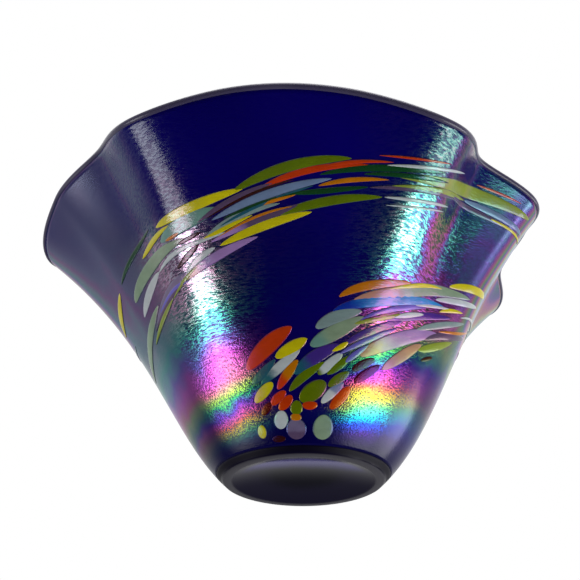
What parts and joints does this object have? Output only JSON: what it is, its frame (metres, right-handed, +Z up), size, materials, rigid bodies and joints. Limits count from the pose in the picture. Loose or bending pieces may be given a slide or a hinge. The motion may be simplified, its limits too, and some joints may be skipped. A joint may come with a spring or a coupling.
{
  "type": "ruffled glass vase",
  "caption": "Hand blown cobalt glass vase with a flared ruffled rim, a rising band of fused coloured glass chips, and a ground ring foot.",
  "frame": {"origin": "centre of the ground ring the vase stands on, in the plane of that ring", "axes": "+Z is up through the mouth; -Y faces the viewer with the cluster of round chips low in the middle; +X is the viewer's right"},
  "size_m": [0.2672, 0.2839, 0.1469],
  "materials": {
    "cobalt_glass": "deep cobalt blown glass under a metallic rainbow film",
    "smoke_glass": "smoky clear glass, fire polished or ground and polished",
    "orange_glass": "orange coloured glass chip under the same thin rainbow film, glossy",
    "yellow_glass": "yellow coloured glass chip under the same thin rainbow film, glossy",
    "amber_glass": "amber coloured glass chip under the same thin rainbow film, glossy",
    "olive_glass": "olive coloured glass chip under the same thin rainbow film, glossy",
    "lime_glass": "lime coloured glass chip under the same thin rainbow film, glossy",
    "sage_glass": "sage coloured glass chip under the same thin rainbow film, glossy",
    "green_glass": "green coloured glass chip under the same thin rainbow film, glossy",
    "teal_glass": "teal coloured glass chip under the same thin rainbow film, glossy",
    "cyan_glass": "cyan coloured glass chip under the same thin rainbow film, glossy",
    "blue_glass": "blue coloured glass chip under the same thin rainbow film, glossy",
    "grey_glass": "grey coloured glass chip under the same thin rainbow film, glossy",
    "white_glass": "white coloured glass chip under the same thin rainbow film, glossy",
    "pearl_glass": "pearl coloured glass chip under the same thin rainbow film, glossy",
    "lilac_glass": "lilac coloured glass chip under the same thin rainbow film, glossy",
    "violet_glass": "violet coloured glass chip under the same thin rainbow film, glossy",
    "mauve_glass": "mauve coloured glass chip under the same thin rainbow film, glossy",
    "pink_glass": "pink coloured glass chip under the same thin rainbow film, glossy",
    "peach_glass": "peach coloured glass chip under the same thin rainbow film, glossy",
    "red_glass": "red coloured glass chip under the same thin rainbow film, glossy",
    "maroon_glass": "maroon coloured glass chip under the same thin rainbow film, glossy",
    "brown_glass": "brown coloured glass chip under the same thin rainbow film, glossy"
  },
  "bodies": {
    "root": {"foot": "smoke_glass", "wall": "cobalt_glass", "lip": "smoke_glass", "orange_petal": "orange_glass", "yellow_petal": "yellow_glass", "teal_sliver": "teal_glass", "white_leaf": "white_glass", "yellow_bean": "yellow_glass", "amber_leaf": "amber_glass", "violet_petal": "violet_glass", "olive_leaf": "olive_glass", "grey_petal": "grey_glass", "sage_petal": "sage_glass", "white_bean": "white_glass", "olive_wing": "olive_glass", "olive_drop": "olive_glass", "blue_drop": "blue_glass", "orange_seed": "orange_glass", "olive_oval": "olive_glass", "red_drops": "red_glass", "maroon_bean": "maroon_glass", "white_oval": "white_glass", "olive_pip": "olive_glass", "amber_pip": "amber_glass", "lilac_oval": "lilac_glass", "sage_oval": "sage_glass", "yellow_pips": "yellow_glass", "brown_patches": "brown_glass", "amber_blade": "amber_glass", "sage_blade": "sage_glass", "cyan_blade": "cyan_glass", "violet_blades": "violet_glass", "yellow_crescent": "yellow_glass", "white_crescent": "white_glass", "lime_blades": "lime_glass", "pink_pearl": "pink_glass", "grey_blades": "grey_glass", "peach_blade": "peach_glass", "maroon_leaves": "maroon_glass", "maroon_flecks": "maroon_glass", "yellow_ribbon": "yellow_glass", "olive_ribbon": "olive_glass", "pearl_patch": "pearl_glass", "mauve_ribbons": "mauve_glass", "red_ribbon": "red_glass", "blue_ribbon": "blue_glass", "amber_ribbons": "amber_glass", "green_ribbons": "green_glass", "olive_ribbon_low": "olive_glass", "yellow_ribbon_low": "yellow_glass", "sage_feathers": "sage_glass", "white_feathers": "white_glass", "lilac_feather": "lilac_glass", "lime_ribbon": "lime_glass", "blue_ribbon_right": "blue_glass", "back_ribbons": "grey_glass"}
  },
  "joints": []
}
